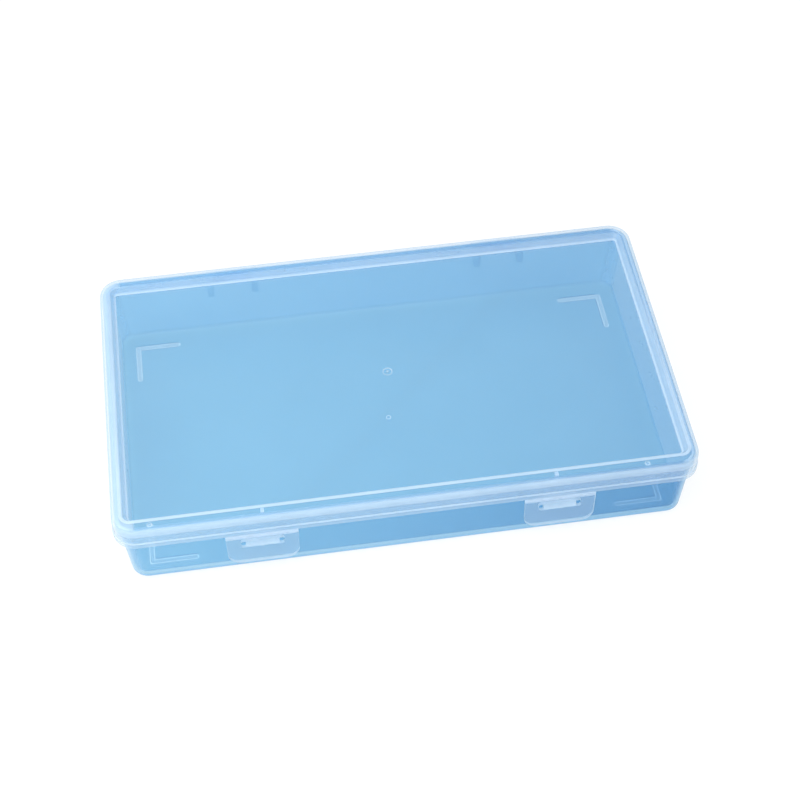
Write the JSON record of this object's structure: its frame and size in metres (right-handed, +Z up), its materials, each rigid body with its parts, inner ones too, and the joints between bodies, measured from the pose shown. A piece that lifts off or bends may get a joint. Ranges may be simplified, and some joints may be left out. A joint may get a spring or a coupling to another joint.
{
  "type": "plastic storage box",
  "caption": "Flat rectangular storage box: a tinted see-through tray on low feet, with a clear hinged lid held shut by two hanging snap latches.",
  "frame": {"origin": "bottom centre of the closed box, on the table", "axes": "+X along the length, to the right when the latches face the viewer; +Y from the latches to the hinge; +Z up"},
  "size_m": [0.1992, 0.1234, 0.0304],
  "materials": {
    "tray_plastic": "light blue see-through polypropylene, smooth satin walls",
    "lid_plastic": "clear, slightly milky polypropylene, smooth"
  },
  "bodies": {
    "base": {"base_tray": "tray_plastic", "front_left_foot": "tray_plastic", "front_right_foot": "tray_plastic", "rear_left_foot": "tray_plastic", "rear_right_foot": "tray_plastic", "left_catch": "tray_plastic", "right_catch": "tray_plastic", "left_hinge_ears": "tray_plastic", "right_hinge_ears": "tray_plastic", "left_hinge_pin": "tray_plastic", "right_hinge_pin": "tray_plastic"},
    "lid": {"lid_shell": "lid_plastic", "left_lid_rib": "lid_plastic", "right_lid_rib": "lid_plastic", "left_hinge_clip": "lid_plastic", "right_hinge_clip": "lid_plastic"},
    "left_latch": {"left_latch_web": "lid_plastic", "left_latch_flap": "lid_plastic"},
    "right_latch": {"right_latch_web": "lid_plastic", "right_latch_flap": "lid_plastic"}
  },
  "joints": [
    {"name": "lid_hinge", "type": "hinge", "parent": "base", "child": "lid", "pos_m": [0, 0.0593, 0.0216], "axis": [-1, 0, 0], "range_deg": [0, 180]},
    {"name": "left_latch_hinge", "type": "hinge", "parent": "lid", "child": "left_latch", "pos_m": [-0.0506, -0.06075, 0.02132], "axis": [-1, 0, 0], "range_deg": [0, 110]},
    {"name": "right_latch_hinge", "type": "hinge", "parent": "lid", "child": "right_latch", "pos_m": [0.0506, -0.06075, 0.02132], "axis": [-1, 0, 0], "range_deg": [0, 110]}
  ]
}
